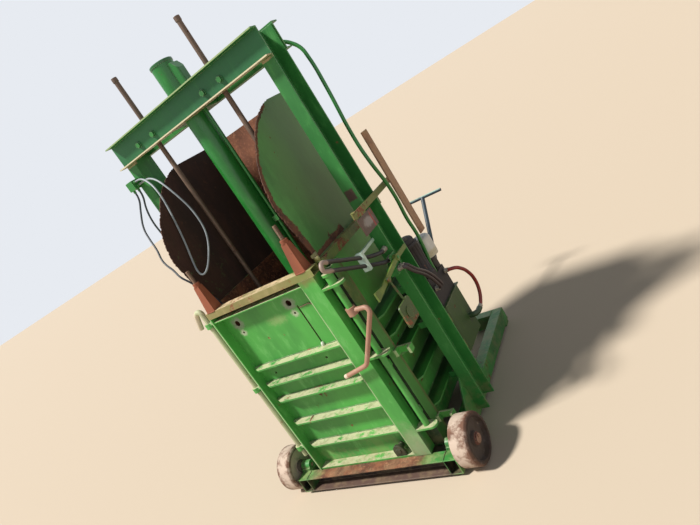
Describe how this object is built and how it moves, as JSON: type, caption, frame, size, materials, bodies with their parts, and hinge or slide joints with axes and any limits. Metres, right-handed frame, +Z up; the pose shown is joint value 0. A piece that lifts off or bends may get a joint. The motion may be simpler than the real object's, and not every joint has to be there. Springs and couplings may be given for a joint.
{
  "type": "wool press",
  "caption": "Hydraulic wool press on two wheels: channel uprights and crosshead, ram with platen and guide rods, pressing box with hinged door, hopper and side power pack.",
  "frame": {"origin": "on the floor, below the middle of the footprint without the free cables", "axes": "+X to the right along the front, +Y to the back, +Z up"},
  "size_m": [1.2405, 1.4936, 2.32],
  "materials": {
    "base_paint": "weathered green paint with orange rust",
    "frame_paint": "weathered mid-green paint",
    "box_paint": "weathered green paint, chalky worn edges",
    "ram_paint": "glossier green paint",
    "wheel_iron": "rusty iron with pale blotches",
    "worn_steel": "bare worn steel",
    "chromed_rod": "polished",
    "rusty_rod": "brown-rusted bar",
    "hopper_plate": "green outside, dark brown rust inside",
    "hopper_rust": "orange-brown rust",
    "rusty_rail": "green paint rusted to orange-brown",
    "tow_paint": "worn teal-grey paint",
    "tank_paint": "olive-green paint",
    "pack_black": "dirty black",
    "filter_grey": "light grey, dusty",
    "hose_red": "dull red rubber",
    "hose_black": "dusty black rubber",
    "bracket_rust": "rusty and worn yellow-green",
    "lever_paint": "worn yellow-green paint",
    "clamp_paint": "pale worn paint",
    "cable_pale": "grey-white cable sheath",
    "cable_dark": "dark cable sheath"
  },
  "bodies": {
    "frame": {"base_rails": "base_paint", "base_cross_members": "base_paint", "floor_plate": "base_paint", "axle_blocks": "base_paint", "wheel_axles": "worn_steel", "uprights": "frame_paint", "upright_gussets": "frame_paint", "crosshead_channels": "frame_paint", "guide_blocks": "frame_paint", "guide_bolts": "frame_paint", "ram_saddles": "frame_paint", "ram_barrel": "ram_paint", "ram_gland": "ram_paint", "port_cover": "ram_paint", "ram_pipes": "ram_paint", "box_walls": "box_paint", "front_stiffeners": "box_paint", "box_ribs": "box_paint", "box_top_rails": "box_paint", "hopper_sides": "hopper_plate", "hopper_back": "hopper_rust", "hinge_rod": "worn_steel", "box_brackets": "box_paint", "tow_bracket": "box_paint", "oil_tank": "tank_paint", "pump_casing": "pack_black", "pump_motor": "pack_black", "oil_filter": "filter_grey", "red_hose": "hose_red", "pack_brackets": "bracket_rust", "bracket_plate": "bracket_rust", "valve_block": "frame_paint", "valve_hoses": "hose_black", "riser_pipe": "ram_paint", "lever_lug": "frame_paint", "stowed_hose": "hose_black", "hose_clamp": "clamp_paint", "cable_block": "frame_paint", "cable_white": "cable_pale", "cable_black": "cable_dark", "cable_grey": "cable_dark"},
    "platen": {"platen": "base_paint", "piston_rod": "chromed_rod", "guide_rods": "rusty_rod"},
    "door": {"door_sheet": "box_paint", "door_hinge_stile": "box_paint", "door_post": "box_paint", "door_top_rail": "rusty_rail", "door_ribs": "box_paint", "door_foot_lug": "rusty_rail", "door_horns": "rusty_rail", "door_hinge_lugs": "box_paint", "latch_lugs": "box_paint"},
    "latch": {"latch_bar": "box_paint", "crank_handle": "worn_steel"},
    "wheel_left": {"wheel_left": "wheel_iron"},
    "wheel_right": {"wheel_right": "wheel_iron"},
    "tow_handle": {"tow_handle": "tow_paint"},
    "lever": {"control_lever": "lever_paint"},
    "link": {"control_link": "lever_paint"}
  },
  "joints": [
    {"name": "platen_slide", "type": "slide", "parent": "frame", "child": "platen", "axis": [0, 0, 1], "range_m": [-0.25, 0.25]},
    {"name": "door_hinge", "type": "hinge", "parent": "frame", "child": "door", "pos_m": [-0.40191, -0.64037, 0.6], "axis": [0, 0, -1], "range_deg": [0, 95]},
    {"name": "latch_turn", "type": "hinge", "parent": "door", "child": "latch", "pos_m": [0.38709, -0.62637, 0.6], "axis": [0, 0, 1], "range_deg": [0, 45]},
    {"name": "wheel_left_spin", "type": "hinge", "parent": "frame", "child": "wheel_left", "pos_m": [-0.56441, -0.61037, 0.12], "axis": [1, 0, 0], "continuous": true},
    {"name": "wheel_right_spin", "type": "hinge", "parent": "frame", "child": "wheel_right", "pos_m": [0.53059, -0.61037, 0.12], "axis": [1, 0, 0], "continuous": true},
    {"name": "tow_lift", "type": "hinge", "parent": "frame", "child": "tow_handle", "pos_m": [0.28309, 0.18663, 0.27], "axis": [1, 0, 0], "range_deg": [0, 40]},
    {"name": "lever_turn", "type": "hinge", "parent": "frame", "child": "lever", "pos_m": [0.55309, -0.35737, 0.961], "axis": [1, 0, 0], "range_deg": [-15, 15], "stiffness_Nm_per_rad": 40, "springref_deg": -2.64},
    {"name": "link_turn", "type": "hinge", "parent": "lever", "child": "link", "pos_m": [0.56309, -0.52737, 0.93938], "axis": [1, 0, 0], "range_deg": [-15, 15]}
  ],
  "couplings": [
    {"joint": "link_turn", "follows": "lever_turn", "ratio": -1}
  ]
}
